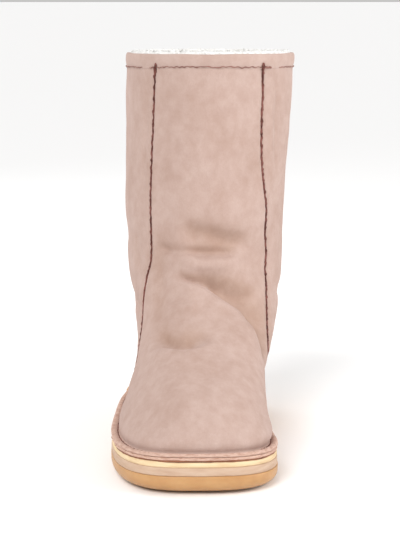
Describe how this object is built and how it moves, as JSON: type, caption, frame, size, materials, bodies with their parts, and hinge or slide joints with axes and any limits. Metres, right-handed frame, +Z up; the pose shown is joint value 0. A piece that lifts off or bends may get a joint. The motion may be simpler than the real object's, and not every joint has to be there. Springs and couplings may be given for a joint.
{
  "type": "sheepskin boot",
  "caption": "Pull-on short winter boot in suede sheepskin with a wool lining, a leather heel counter and a layered flat rubber sole",
  "frame": {"origin": "on the floor under the middle of the heel, in the centre of the heel's flat tread", "axes": "toe points along -Y, up is +Z, the outer side of the foot is -X and the inner side is +X"},
  "size_m": [0.1333, 0.278, 0.2815],
  "materials": {
    "gum_rubber": "smooth honey-coloured gum rubber",
    "beige_foam": "matt beige midsole sheet",
    "cream_foam": "matt cream midsole sheet",
    "suede_edge": "board wrapped in pinkish suede",
    "suede": "pinkish beige suede with a soft nap",
    "tan_leather": "natural tan leather, smooth",
    "wool": "white sheep's wool pile"
  },
  "bodies": {
    "root": {"outsole": "gum_rubber", "midsole": "beige_foam", "runner": "cream_foam", "insole_board": "suede_edge", "upper": "suede", "heel_counter": "tan_leather", "collar_binding": "suede", "insole": "wool"}
  },
  "joints": []
}
